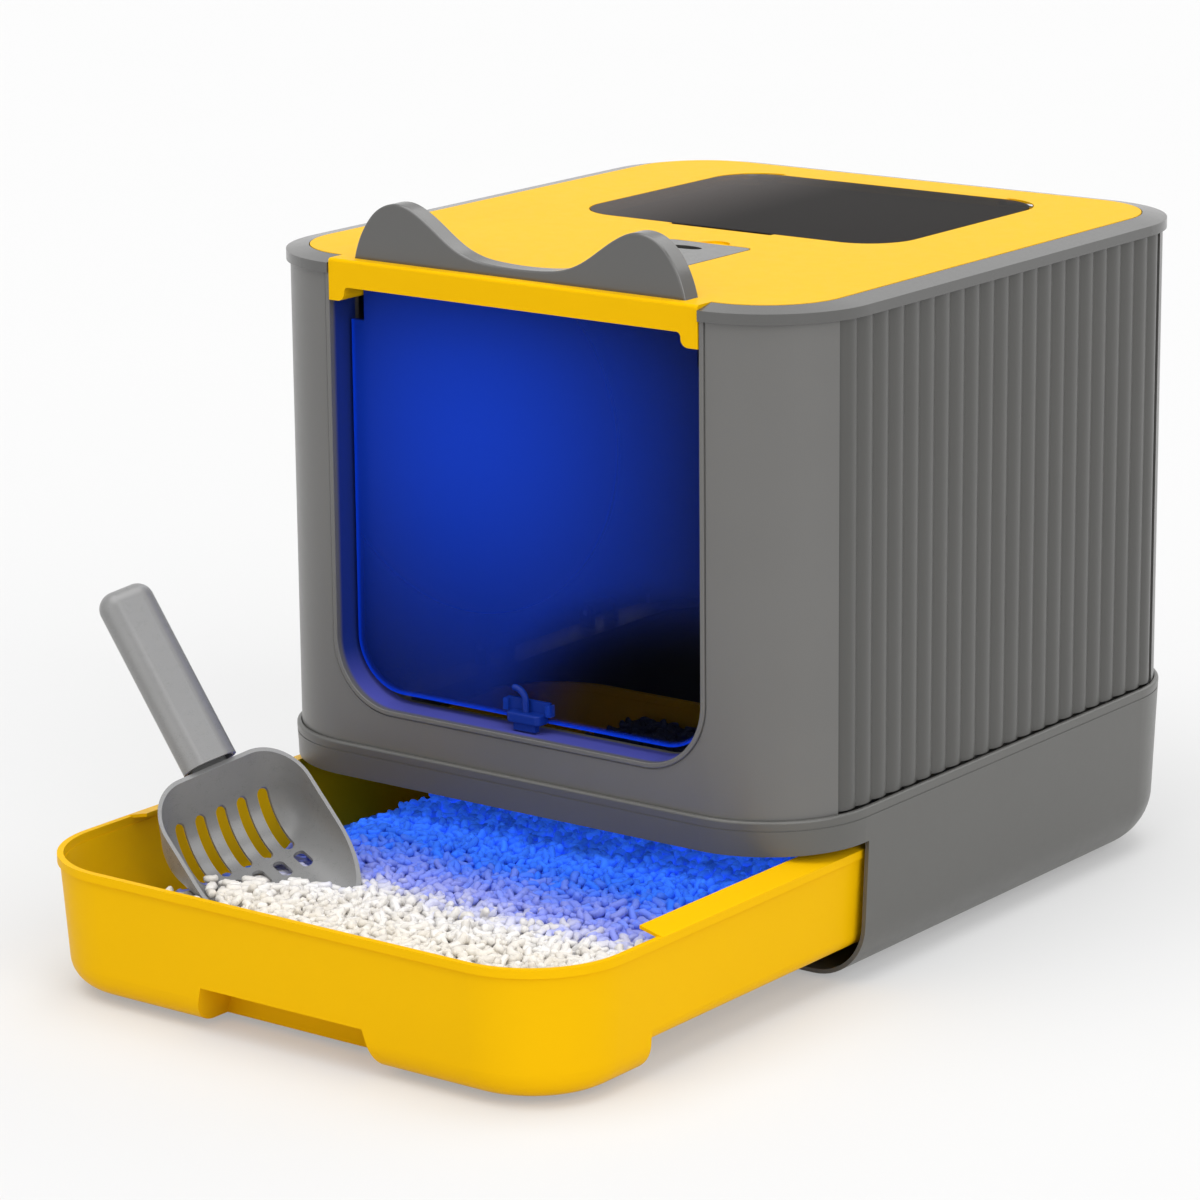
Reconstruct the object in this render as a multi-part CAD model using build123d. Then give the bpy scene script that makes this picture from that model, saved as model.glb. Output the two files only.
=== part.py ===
"""Foldable litter box: base tub, folding side panels, lift-off hood, flap, hatch, drawer and scoop.

Millimetres, +Z up, front of the box at -Y. The drawer is drawn pulled out to its stop.
"""
import os
from math import cos, radians, sin, sqrt

from build123d import *

# Housing, outside of the walls
body_width = 400.0
body_depth = 442.0
corner_radius = 66.0
wall = 3.0

# Base tub and collar
foot_height = 2.0
foot_radius = 9.0
foot_recess = 1.0
foot_fit = 0.2
foot_side_inset = 52.0
foot_front_inset = 34.0
foot_rear_inset = 62.0
base_wall = 2.6
base_draft_angle = 2.5
base_bottom_radius = 36.0
collar_top = 110.4
collar_proud = 3.2
collar_edge_radius = 1.6
bead_height = 5.2
groove_width = 0.8
groove_depth = 0.6
strip_height = 21.0
tub_setback = 70.0
shelf_drop = 7.0
shelf_thickness = 4.0
shelf_width = 26.0
runner_width = 12.0
runner_spacing = 220.0
runner_front_gap = 12.0
runner_rear_gap = 64.0
runner_gap = 0.4

# Front frame and back panel
return_length = 46.0
wall_seat_gap = 0.2
doorway_width = 268.0
doorway_radius = 40.0
sill_height = 135.0
jamb_depth = 26.0
jamb_thickness = 3.0
bead_proud = 1.0
bead_edge_radius = 0.6

# Folding side panels and their hinges
panel_gap = 0.6
panel_foot_gap = 0.8
panel_head_gap = 0.5
scallop_count = 22
scallop_depth = 2.0
hinge_pin_radius = 2.0
pin_clearance = 0.05
knuckle_radius = 4.5
knuckle_length = 20.0
knuckle_gap = 0.5
cheek_thickness = 5.0
hinge_inset = 5.6
hinge_rise = 3.6
fold_stack_gap = 2.0
hinge_station_count = 3
hinge_end_inset = 62.0

# Top rim and lid
lid_top = 405.4
lid_thickness = 3.2
lid_seat_gap = 0.2
lid_gap = 0.6
lid_side_inset = 14.0
lid_front_inset = 12.0
lid_corner_radius = 50.0
ledge_width = 8.0
ledge_thickness = 1.5
wall_head_gap = 0.3
rim_fall = 2.7
lip_drop = 4.0
lip_proud = 2.5
rim_fit = 0.3
lintel_gap = 0.4
lintel_proud = 1.5
lintel_thickness = 4.0
lintel_height = 16.4
lintel_edge_radius = 2.0
tab_width = 11.6
tab_corner_radius = 5.0
tab_inner_radius = 3.0
tab_depth = 25.0
tab_drop = 8.5
lid_screw_radius = 1.5
lid_screw_head_radius = 3.2
lid_screw_head_height = 2.0
lid_screw_depth = 2.4
lid_screw_spacing = 120.0
lid_screw_count = 3

# Ear plate
ear_half_width = 120.0
ear_height = 34.7
ear_thickness = 13.0
ear_setback = 6.0
ear_edge_radius = 1.2
ear_tenon_width = 20.0
ear_tenon_thickness = 6.0
ear_tenon_fit = 0.2
ear_screw_depth = 9.0
ear_x_shares = (1.0, 0.971, 0.925, 0.854, 0.775, 0.70, 0.608, 0.50, 0.375, 0.267, 0.15, 0.0)
ear_rise_shares = (0.0, 0.317, 0.605, 0.865, 0.988, 1.0, 0.885, 0.648, 0.369, 0.231, 0.179, 0.161)
ear_peak_share = 0.70

# Flush doors in the lid: the smoked hatch and the vent cover
door_gap = 0.8
door_swing_gap = 3.9
door_thickness = 3.0
door_ledge_width = 6.0
door_ledge_overlap = 4.0
door_ledge_thickness = 2.0
door_ledge_corner_radius = 1.5
door_pin_radius = 1.3
door_axis_rise = 1.3
door_axis_setback = 4.0
lug_length = 11.0
lug_gap = 0.8
lug_half_depth = 3.4
lug_drop = 3.0
boss_length = 12.0
boss_half_depth = 4.6
boss_drop = 4.0
hinge_relief = 9.0
hatch_width = 234.0
hatch_rear_margin = 46.0
hatch_radius = 32.0
hatch_setback = 211.0
hatch_grip_width = 76.0
hatch_grip_reach = 4.5
hatch_grip_depth = 1.6
cover_width = 62.0
cover_length = 73.0
cover_radius = 6.0
cover_setback = 90.0
cover_offset = 25.0
vent_width = 24.0
vent_length = 10.0
vent_setback = 18.0
vent_offset = -6.0
nail_notch_radius = 10.0
nail_notch_depth = 1.2
nail_notch_offset = 2.0
scent_box_depth = 18.0
scent_box_wall = 1.6
scent_box_hinge_gap = 8.0
scent_box_inset = 2.0
charcoal_thickness = 10.0
charcoal_gap = 0.5

# Flap and bolt
flap_setback = 15.5
flap_thickness = 3.0
flap_side_gap = 3.0
flap_sill_gap = 6.0
flap_bottom_radius = 34.0
flap_axis_drop = 17.4
flap_shoulder_drop = 21.5
flap_barrel_radius = 3.8
flap_barrel_gap = 0.7
flap_pin_radius = 1.6
flap_pin_in_flap = 12.0
flap_pin_in_tab = 8.0
bolt_width = 25.0
bolt_height = 6.5
bolt_depth = 9.0
bolt_rise = 5.4
bolt_gap = 0.4
bolt_travel = 5.0
bolt_tongue_width = 16.0
bolt_tongue_thickness = 4.0
bolt_tongue_clearance = 0.8
bolt_corner_radius = 3.6
bolt_edge_radius = 1.4
bolt_flange_width = 3.0
bolt_flange_thickness = 2.0
bolt_flange_height = 8.0
guide_thickness = 1.6
guide_height = 7.0
guide_cover = 2.0
sill_slot_fit = 0.6
finger_radius = 2.0
finger_rise = 6.0
finger_bend_radius = 8.0

# Drawer tray and litter
drawer_reach = 220.0
drawer_length = 490.0
drawer_side_gap = 4.5
drawer_radius = 60.0
drawer_rim_top = 82.5
drawer_wall = 2.6
drawer_draft_angle = 4.0
drawer_floor = 21.0
drawer_floor_radius = 10.0
pit_floor = 4.0
pit_floor_radius = 18.0
pit_length = 92.0
rim_band_height = 5.0
rim_band_proud = 1.2
lip_start = 96.0
side_lip_width = 16.0
side_lip_rise = 4.0
side_lip_thickness = 2.0
notch_top_width = 118.0
notch_bottom_width = 134.0
notch_height = 24.0
notch_depth = 34.0
drawer_foot_radius = 8.0
drawer_foot_side_inset = 85.0
drawer_foot_setback = 62.0
litter_top = 65.0
litter_gap = 0.5
hollow_radius = 150.0
hollow_depth = 40.0
hollow_x = -205.0
hollow_setback = 76.0

# Scoop, standing in the litter
scoop_x = -86.0
scoop_setback = 91.0
scoop_height = 64.0
scoop_yaw_angle = -17.7
scoop_pitch_angle = 13.4
scoop_roll_angle = 13.2
blade_width = 98.0
blade_length = 95.0
blade_back_height = 58.0
blade_tip_height = 3.0
blade_heel_radius = 30.0
blade_side_radius = 26.0
blade_wall = 2.2
blade_anchor = 44.0
slot_count = 5
slot_pitch = 14.0
slot_width = 7.0
long_slot_length = 40.0
short_slot_length = 16.0
handle_angle = 41.0
handle_length = 117.0
handle_width = 34.0
handle_thickness = 21.0
handle_radius = 10.2
handle_end_radius = 10.0
handle_wall = 2.4
handle_bore_depth = 16.0
handle_drop = 5.0
handle_start = 5.0
tang_length = 46.0
tang_root = 12.0
tang_fit = 0.25
tang_width = 24.0
tang_thickness = 6.0
tang_corner_radius = 2.0
scoop_clearance = 1.5
scoop_seat_gap = 0.1
pull_side_share = -0.381
pull_front_share = -0.572
pull_up_share = 0.726
pull_length = 28.0
trench_count = 5

# How far a cutting tool runs past the face it opens
overrun = 5.0

# Turns
right_angle = 90.0
half_right_angle = right_angle / 2

# Places that follow from the sizes above
overall_length = drawer_reach + body_depth + collar_proud
front_y = drawer_reach - overall_length / 2
back_y = front_y + body_depth
middle_y = (front_y + back_y) / 2
base_bottom = foot_height
strip_bottom = collar_top - strip_height
shelf_top = collar_top - shelf_drop
lid_under = lid_top - lid_thickness
hatch_length = body_depth - hatch_setback - hatch_rear_margin
drawer_width = body_width - 2 * drawer_side_gap
rim_under = lid_under - lid_seat_gap - ledge_thickness
wall_top = rim_under - wall_head_gap
wall_foot = shelf_top + wall_seat_gap
lip_top = lid_top - rim_fall
lip_clearance = bead_proud + rim_fit
lintel_half = doorway_width / 2 - lintel_gap
flap_axis_y = front_y + flap_setback + flap_thickness / 2
flap_axis_z = lid_top - flap_axis_drop
drawer_front = front_y - drawer_reach + rim_band_proud
drawer_middle_y = drawer_front + drawer_length / 2


def block(x_from, x_to, y_from, y_to, z_from, z_to):
    size = (abs(x_to - x_from), abs(y_to - y_from), abs(z_to - z_from))
    return Pos((x_from + x_to) / 2, (y_from + y_to) / 2, (z_from + z_to) / 2) * Box(*size)


def bar_along_x(x_from, x_to, y, z, radius):
    return Pos((x_from + x_to) / 2, y, z) * Rot(0, right_angle, 0) * Cylinder(radius, abs(x_to - x_from))


def bar_along_y(x, y_from, y_to, z, radius):
    return Pos(x, (y_from + y_to) / 2, z) * Rot(right_angle, 0, 0) * Cylinder(radius, abs(y_to - y_from))


def house_plan(outset, z):
    return Pos(0, middle_y, z) * RectangleRounded(
        body_width + 2 * outset, body_depth + 2 * outset, corner_radius + outset)


def ring(outer_outset, inner_outset, z_from, z_to):
    return extrude(house_plan(outer_outset, z_from) - house_plan(inner_outset, z_from), z_to - z_from)


def save(name, *solids):
    shape = solids[0] if len(solids) == 1 else Compound(children=list(solids))
    shape.label = name
    export_step(shape, f"parts/{name}.step")


# Base: tapered tub, collar bead, shelf for the walls, drawer runners, hinge posts
def tub_form(inset):
    form = extrude(
        house_plan(collar_proud - inset, collar_top),
        collar_top - base_bottom - inset, dir=(0, 0, -1), taper=base_draft_angle)
    return fillet(form.faces().sort_by(Axis.Z)[0].edges(), base_bottom_radius - inset)


panel_thickness = wall + scallop_depth
panel_inner_x = body_width / 2 - panel_thickness
hinge_x = panel_inner_x - hinge_inset
hinge_heights = {
    -1: collar_top + hinge_rise,
    1: collar_top + hinge_rise + panel_thickness + fold_stack_gap,
}
panel_front = front_y + return_length + panel_gap
panel_back = back_y - return_length - panel_gap
hinge_first = panel_front + hinge_end_inset
hinge_step = (panel_back - panel_front - 2 * hinge_end_inset) / (hinge_station_count - 1)
hinge_stations = [hinge_first + hinge_step * i for i in range(hinge_station_count)]
cheek_offset = knuckle_length / 2 + knuckle_gap


def hinge_post(side, y_from, y_to):
    axis_z = hinge_heights[side]
    inner, outer = side * (hinge_x - knuckle_radius), side * (hinge_x + knuckle_radius)
    wall_side = side * (body_width / 2)
    post = block(inner, outer, y_from, y_to, shelf_top - shelf_thickness, axis_z)
    post += block(inner, wall_side, y_from, y_to, shelf_top - shelf_thickness, shelf_top)
    post += bar_along_y(side * hinge_x, y_from, y_to, axis_z, knuckle_radius)
    return post


foot_places = [
    (side * (body_width / 2 - foot_side_inset), y)
    for side in (-1, 1)
    for y in (front_y + tub_setback + foot_front_inset, back_y - foot_rear_inset)
]

tub_outer = tub_form(0)
tub_outer = fillet(tub_outer.faces().sort_by(Axis.Z)[-1].edges(), collar_edge_radius)
base_tub = tub_outer - tub_form(base_wall)
groove_z = collar_top - bead_height - groove_width
base_tub -= ring(collar_proud + overrun, collar_proud - groove_depth, groove_z, groove_z + groove_width)
base_tub -= block(
    -body_width, body_width, front_y - overrun - collar_proud, front_y + tub_setback, -overrun, strip_bottom)
base_tub += ring(collar_proud / 2, -shelf_width, shelf_top - shelf_thickness, shelf_top)
for side in (-1, 1):
    for station in hinge_stations:
        base_tub += hinge_post(side, station + cheek_offset, station + cheek_offset + cheek_thickness)
        base_tub += hinge_post(side, station - cheek_offset - cheek_thickness, station - cheek_offset)
    runner_x = side * runner_spacing / 2
    base_tub += block(
        runner_x - runner_width / 2, runner_x + runner_width / 2,
        front_y + tub_setback + runner_front_gap, back_y - runner_rear_gap,
        base_bottom + base_wall / 2, drawer_floor - runner_gap)

hinge_pins = []
for side in (-1, 1):
    for station in hinge_stations:
        reach = cheek_offset + cheek_thickness
        pin_place = (side * hinge_x, station - reach, station + reach, hinge_heights[side])
        base_tub -= bar_along_y(*pin_place, hinge_pin_radius + pin_clearance)
        hinge_pins.append(bar_along_y(*pin_place, hinge_pin_radius))
for x, y in foot_places:
    base_tub -= Pos(x, y, base_bottom) * Cylinder(foot_radius + foot_fit, 2 * foot_recess)
rubber_feet = [
    Pos(x, y, (foot_height + foot_recess) / 2) * Cylinder(foot_radius, foot_height + foot_recess)
    for x, y in foot_places
]


# Side panels: scalloped outside, flat inside, knuckles on the hinge pins
def wall_x(y):
    depth_in = min(y - front_y, back_y - y)
    if depth_in >= corner_radius:
        return body_width / 2
    return body_width / 2 - corner_radius + sqrt(corner_radius ** 2 - (corner_radius - depth_in) ** 2)


def side_panel(side):
    pitch = (panel_back - panel_front) / scallop_count
    cusps = [panel_front + pitch * i for i in range(scallop_count + 1)]
    arcs = []
    for y_from, y_to in zip(cusps, cusps[1:]):
        y_crest = (y_from + y_to) / 2
        arcs.append(ThreePointArc(
            (side * (wall_x(y_from) - scallop_depth), y_from),
            (side * wall_x(y_crest), y_crest),
            (side * (wall_x(y_to) - scallop_depth), y_to)))
    inner = [(side * (wall_x(y) - panel_thickness), y) for y in reversed(cusps)]
    back_edge = Line((side * (wall_x(cusps[-1]) - scallop_depth), cusps[-1]), inner[0])
    front_edge = Line(inner[-1], (side * (wall_x(cusps[0]) - scallop_depth), cusps[0]))
    outline = make_face(Curve() + arcs + [back_edge, Polyline(*inner), front_edge])
    foot = collar_top + panel_foot_gap
    panel = extrude(Pos(0, 0, foot) * outline, rim_under - panel_head_gap - foot, dir=(0, 0, 1))
    axis_z = hinge_heights[side]
    for station in hinge_stations:
        y_from, y_to = station - knuckle_length / 2, station + knuckle_length / 2
        panel += bar_along_y(side * hinge_x, y_from, y_to, axis_z, knuckle_radius)
        panel += block(
            side * hinge_x, side * (panel_inner_x + wall / 2), y_from, y_to, axis_z, axis_z + knuckle_radius)
        panel -= bar_along_y(
            side * hinge_x, y_from - overrun, y_to + overrun, axis_z, hinge_pin_radius + pin_clearance)
    return panel


# Front frame and back panel: rounded corners, doorway with a deep jamb and sill
def doorway(outset, y_from, y_to):
    half = doorway_width / 2 + outset
    radius = doorway_radius + outset
    foot = sill_height - outset
    head = wall_top + overrun
    outline = Rectangle(2 * half, head - foot)
    outline = fillet(outline.vertices().sort_by(Axis.Y)[:2], radius)
    upright = Plane.XZ * Pos(0, (head + foot) / 2) * outline
    return Pos(0, y_to, 0) * extrude(upright, y_to - y_from)


shell = ring(0, -wall, wall_foot, wall_top)
front_frame = shell & block(
    -body_width, body_width, front_y - overrun, front_y + return_length, 0, lid_top)
jamb = doorway(jamb_thickness, front_y - bead_proud, front_y + jamb_depth)
jamb &= block(-body_width, body_width, front_y - overrun, back_y, 0, wall_top)
front_frame += jamb
front_frame -= doorway(0, front_y - overrun, front_y + jamb_depth + overrun)
bead_edges = front_frame.faces().sort_by(Axis.Y)[0].edges()
front_frame = fillet(bead_edges.filter_by(lambda e: e.center().Z < wall_top - overrun), bead_edge_radius)
bead_groove = doorway(jamb_thickness + groove_width, front_y - overrun, front_y + groove_depth)
bead_groove -= doorway(jamb_thickness, front_y - 2 * overrun, front_y + 2 * overrun)
front_frame -= bead_groove
bolt_y_from = front_y + flap_setback - bolt_gap - bolt_depth
bolt_y_mid = bolt_y_from + bolt_depth / 2
slot_half = bolt_tongue_width / 2 + sill_slot_fit
slot_half_depth = bolt_tongue_thickness / 2 + sill_slot_fit
front_frame -= block(
    -slot_half, slot_half, bolt_y_mid - slot_half_depth, bolt_y_mid + slot_half_depth,
    sill_height - jamb_thickness - overrun, sill_height + overrun)
back_panel = shell & block(
    -body_width, body_width, back_y - return_length, back_y + overrun, 0, lid_top)


# Lid and the flush doors in it
def lid_plan(outset, z):
    width = body_width - 2 * lid_side_inset + 2 * outset
    front = front_y + lid_front_inset - outset
    back = back_y - lid_side_inset + outset
    return Pos(0, (front + back) / 2, z) * RectangleRounded(width, back - front, lid_corner_radius + outset)


def half_width_near_end(half, radius, setback):
    if setback >= radius:
        return half
    return half - radius + sqrt(radius ** 2 - (radius - setback) ** 2)


class FlushDoor:
    def __init__(self, x_mid, y_front, width, length, radius, hinge_side):
        y_mid = y_front + length / 2
        axis_y = y_mid + hinge_side * (length / 2 - door_axis_setback)
        axis_z = lid_under + door_axis_rise
        reach = half_width_near_end(width / 2, radius, door_axis_setback)
        self.axis = (axis_y, axis_z)
        place = Pos(x_mid, y_mid, 0)
        plate = place * Pos(0, 0, lid_top - door_thickness) * RectangleRounded(width, length, radius)
        self.plate = extrude(plate, door_thickness)

        def plan(outset):
            corner = max(radius + outset, door_ledge_corner_radius)
            return place * RectangleRounded(width + 2 * outset, length + 2 * outset, corner)

        self.opening = extrude(Pos(0, 0, lid_under - overrun) * plan(door_gap), lid_thickness + 2 * overrun)
        swing_cut = Pos(0, hinge_side * door_swing_gap, 0) * self.opening
        straight_half = width / 2 - radius
        swing_cut -= block(
            x_mid - straight_half, x_mid + straight_half, y_mid - length, y_mid + length,
            lid_under - 2 * overrun, lid_top + 2 * overrun)
        self.opening += swing_cut
        ledge_ring = plan(door_ledge_overlap) - plan(-door_ledge_width)
        self.ledge = extrude(Pos(0, 0, lid_under - door_ledge_thickness) * ledge_ring, door_ledge_thickness)
        relief_from = axis_y - hinge_side * hinge_relief
        relief_to = axis_y + hinge_side * (door_axis_setback + door_gap)
        self.ledge -= block(
            x_mid - width / 2, x_mid + width / 2, relief_from, relief_to,
            lid_under - overrun, lid_under + overrun)
        self.pins = []
        self.bores = []
        for side in (-1, 1):
            lug_outer = x_mid + side * (reach - lug_gap)
            lug_inner = lug_outer - side * lug_length
            boss_inner = x_mid + side * (reach + door_gap)
            boss_outer = boss_inner + side * boss_length
            lug = block(
                lug_inner, lug_outer, axis_y - lug_half_depth, axis_y + lug_half_depth,
                axis_z - lug_drop, lid_top)
            column = extrude(Pos(0, 0, lid_under - overrun) * plan(0), lid_thickness + overrun)
            self.plate += lug & column
            self.plate -= bar_along_x(
                lug_inner - side * overrun, boss_outer, *self.axis, door_pin_radius + pin_clearance)
            self.ledge += block(
                boss_inner, boss_outer, axis_y - boss_half_depth, axis_y + boss_half_depth,
                lid_under - boss_drop, lid_under)
            self.pins.append(bar_along_x(lug_inner, boss_outer, *self.axis, door_pin_radius))
            self.bores.append(
                bar_along_x(lug_inner, boss_outer, *self.axis, door_pin_radius + pin_clearance))


hatch = FlushDoor(0, front_y + hatch_setback, hatch_width, hatch_length, hatch_radius, 1)
cover = FlushDoor(cover_offset, front_y + cover_setback, cover_width, cover_length, cover_radius, -1)

top_outline = Pos(0, 0, lip_top) * house_plan(lip_proud, 0)
inner_outline = lid_plan(lid_gap, lid_top - lid_seat_gap)
top_rim = extrude(house_plan(lip_proud, rim_under - lip_drop), lip_top - rim_under + lip_drop)
top_rim += loft([top_outline.face(), inner_outline.face()], ruled=True)
top_rim -= extrude(house_plan(lip_clearance, rim_under - lip_drop - overrun), lip_drop + overrun)
top_rim -= extrude(lid_plan(lid_gap, rim_under + ledge_thickness), lid_top)
top_rim -= extrude(lid_plan(-ledge_width, rim_under - overrun), lid_top)
top_rim -= block(
    -doorway_width / 2, doorway_width / 2,
    front_y - overrun - lip_proud, front_y + lid_front_inset + ledge_width,
    rim_under - lip_drop - overrun, lid_top + overrun)

lid = extrude(lid_plan(0, lid_under), lid_thickness)
lid += block(
    -lintel_half, lintel_half, front_y - lintel_proud, front_y + lid_front_inset + overrun, lid_under, lid_top)
tab_inner = lintel_half - tab_width
lintel_foot = lid_top - lintel_height
tab_foot = lintel_foot - tab_drop
lintel_outline = make_face(Polyline(
    (-lintel_half, tab_foot), (-lintel_half, lid_top), (lintel_half, lid_top), (lintel_half, tab_foot),
    (tab_inner, tab_foot), (tab_inner, lintel_foot), (-tab_inner, lintel_foot), (-tab_inner, tab_foot),
    close=True))
inner_corners = lintel_outline.vertices().filter_by(lambda v: abs(v.X) < lintel_half - tab_width / 2)
lintel_outline = fillet(inner_corners.group_by(Axis.Y)[0], tab_corner_radius)
step_corners = lintel_outline.vertices().filter_by(
    lambda v: abs(v.X) < lintel_half - tab_width / 2).group_by(Axis.Y)[-1]
lintel_outline = fillet(step_corners, tab_inner_radius)
lintel_front = front_y - lintel_proud
lid += Pos(0, lintel_front + lintel_thickness, 0) * extrude(Plane.XZ * lintel_outline, lintel_thickness)
tab_reach = tab_depth + lintel_proud
tabs = Pos(0, lintel_front + tab_reach, 0) * extrude(Plane.XZ * lintel_outline, tab_reach)
for side in (-1, 1):
    lid += tabs & block(
        side * tab_inner, side * lintel_half, lintel_front, lintel_front + tab_reach, tab_foot, lid_top)
lintel_edges = lid.edges().filter_by(Axis.X).group_by(Axis.Y)[0].group_by(Axis.Z)[-1]
lid = fillet(lintel_edges, lintel_edge_radius)
for door in (hatch, cover):
    lid -= door.opening
    lid += door.ledge
    for bore in door.bores:
        lid -= bore
lid -= block(
    -hatch_grip_width / 2, hatch_grip_width / 2, front_y + hatch_setback - hatch_grip_reach,
    front_y + hatch_setback + door_gap, lid_top - hatch_grip_depth, lid_top + overrun)
lid -= Pos(
    cover_offset + nail_notch_offset, front_y + cover_setback + cover_length,
    lid_top) * Cylinder(nail_notch_radius, 2 * nail_notch_depth)

vent_y = front_y + cover_setback + cover_length - vent_setback
vent_plan = Pos(cover_offset + vent_offset, vent_y, lid_under - overrun)
vent_slot = vent_plan * Ellipse(vent_width / 2, vent_length / 2)
vent_cover = cover.plate - extrude(vent_slot, lid_thickness + 2 * overrun)

scent_top = lid_under - door_ledge_thickness
scent_floor = scent_top - scent_box_depth
scent_front = cover.axis[0] + scent_box_hinge_gap
scent_back = front_y + cover_setback + cover_length - scent_box_inset
scent_half = cover_width / 2 - scent_box_inset


def scent_block(inset, z_from, z_to):
    return block(
        cover_offset - scent_half + inset, cover_offset + scent_half - inset,
        scent_front + inset, scent_back - inset, z_from, z_to)


scent_box = scent_block(0, scent_floor, scent_top)
scent_box -= scent_block(scent_box_wall, scent_floor + scent_box_wall, scent_top + overrun)
charcoal_foot = scent_floor + scent_box_wall
charcoal_pad = scent_block(scent_box_wall + charcoal_gap, charcoal_foot, charcoal_foot + charcoal_thickness)

# Screws that hold the lid to the rim's back ledge and the ears to the lid
lid_screws = []
lid_screw_y = back_y - lid_side_inset - ledge_width / 2
for i in range(lid_screw_count):
    x = (i - (lid_screw_count - 1) / 2) * lid_screw_spacing
    shank_top = lid_under + lid_screw_depth
    shank = Pos(x, lid_screw_y, (rim_under + shank_top) / 2) * Cylinder(lid_screw_radius, shank_top - rim_under)
    head = Pos(x, lid_screw_y, rim_under - lid_screw_head_height / 2) * Cylinder(
        lid_screw_head_radius, lid_screw_head_height)
    lid -= shank
    top_rim -= shank
    lid_screws.append(shank + head)

ear_points = [(x * ear_half_width, z * ear_height) for x, z in zip(ear_x_shares, ear_rise_shares)]
ear_points += [(-x, z) for x, z in reversed(ear_points[:-1])]
ear_outline = make_face(Curve() + [Spline(*ear_points), Line(ear_points[-1], ear_points[0])])
ear_front = front_y + ear_setback
ear_plate = Pos(0, ear_front + ear_thickness, lid_top) * extrude(Plane.XZ * ear_outline, ear_thickness)
ear_rims = ear_plate.edges().filter_by(GeomType.BSPLINE)
ear_plate = fillet(ear_rims, ear_edge_radius)
ear_mid_y = ear_front + ear_thickness / 2
ear_screws = []
for side in (-1, 1):
    x = side * ear_half_width * ear_peak_share
    tenon_x = x - side * ear_tenon_width
    half_width, half_depth = ear_tenon_width / 2, ear_tenon_thickness / 2
    ear_plate += block(
        tenon_x - half_width, tenon_x + half_width, ear_mid_y - half_depth, ear_mid_y + half_depth,
        lid_under, lid_top)
    lid -= block(
        tenon_x - half_width - ear_tenon_fit, tenon_x + half_width + ear_tenon_fit,
        ear_mid_y - half_depth - ear_tenon_fit, ear_mid_y + half_depth + ear_tenon_fit,
        lid_under - overrun, lid_top + overrun)
    shank_length = lid_thickness + ear_screw_depth
    shank = Pos(x, ear_mid_y, lid_under + shank_length / 2) * Cylinder(lid_screw_radius, shank_length)
    head = Pos(x, ear_mid_y, lid_under - lid_screw_head_height / 2) * Cylinder(
        lid_screw_head_radius, lid_screw_head_height)
    lid -= shank
    ear_plate -= shank
    ear_screws.append(shank + head)

# Flap: hangs on two pins in the lintel tabs, with a bolt that drops into the sill
flap_half = doorway_width / 2 - flap_side_gap
flap_foot = sill_height + flap_sill_gap
flap_shoulder = flap_axis_z - flap_shoulder_drop
barrel_half = lintel_half - tab_width - flap_barrel_gap
flap_back = front_y + flap_setback + flap_thickness


def flap_slab(half, z_from, z_to, radius):
    outline = Rectangle(2 * half, z_to - z_from)
    outline = fillet(outline.vertices().sort_by(Axis.Y)[:2], radius)
    upright = Plane.XZ * Pos(0, (z_from + z_to) / 2) * outline
    return Pos(0, flap_back, 0) * extrude(upright, flap_thickness)


flap = flap_slab(flap_half, flap_foot, flap_shoulder, flap_bottom_radius)
flap += block(-barrel_half, barrel_half, front_y + flap_setback, flap_back, flap_shoulder, flap_axis_z)
flap += bar_along_x(-barrel_half, barrel_half, flap_axis_y, flap_axis_z, flap_barrel_radius)
flap_pins = []
for side in (-1, 1):
    pin_from = side * (barrel_half - flap_pin_in_flap)
    pin_to = side * (lintel_half - tab_width + flap_pin_in_tab)
    flap -= bar_along_x(pin_from, side * lintel_half, flap_axis_y, flap_axis_z, flap_pin_radius + pin_clearance)
    lid -= bar_along_x(pin_from, pin_to, flap_axis_y, flap_axis_z, flap_pin_radius + pin_clearance)
    flap_pins.append(bar_along_x(pin_from, pin_to, flap_axis_y, flap_axis_z, flap_pin_radius))

flap_face = front_y + flap_setback
bolt_back = flap_face - bolt_gap
bolt_foot = sill_height + bolt_rise
bolt = block(-bolt_width / 2, bolt_width / 2, bolt_y_from, bolt_back, bolt_foot, bolt_foot + bolt_height)
front_corners = bolt.edges().filter_by(Axis.Z).group_by(Axis.Y)[0]
bolt = fillet(front_corners, bolt_corner_radius)
bolt = fillet(bolt.faces().sort_by(Axis.Z)[-1].edges(), bolt_edge_radius)
bolt = fillet(bolt.faces().sort_by(Axis.Z)[0].edges(), bolt_edge_radius)
flange_half = bolt_width / 2 + bolt_flange_width
bolt += block(
    -flange_half, flange_half, bolt_back - bolt_flange_thickness, bolt_back,
    flap_foot + bolt_travel, flap_foot + bolt_travel + bolt_flange_height)
bolt += block(
    -bolt_tongue_width / 2, bolt_tongue_width / 2,
    bolt_y_mid - bolt_tongue_thickness / 2, bolt_y_mid + bolt_tongue_thickness / 2,
    sill_height + bolt_tongue_clearance, bolt_foot + bolt_height)
finger_foot = bolt_foot + bolt_height
finger_path = Line((0, bolt_y_mid, finger_foot - finger_radius), (0, bolt_y_mid, finger_foot + finger_rise))
finger_bend = CenterArc((-finger_bend_radius, finger_foot + finger_rise), finger_bend_radius, 0, right_angle)
finger_path += finger_bend.moved(Location(Plane.XZ.offset(-bolt_y_mid)))
finger_section = Plane.XY.offset(finger_foot - finger_radius) * Pos(0, bolt_y_mid) * Circle(finger_radius)
finger = sweep(finger_section, finger_path)
finger_end = Pos(-finger_bend_radius, bolt_y_mid, finger_foot + finger_rise + finger_bend_radius)
bolt += finger + finger_end * Sphere(finger_radius)

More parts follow.
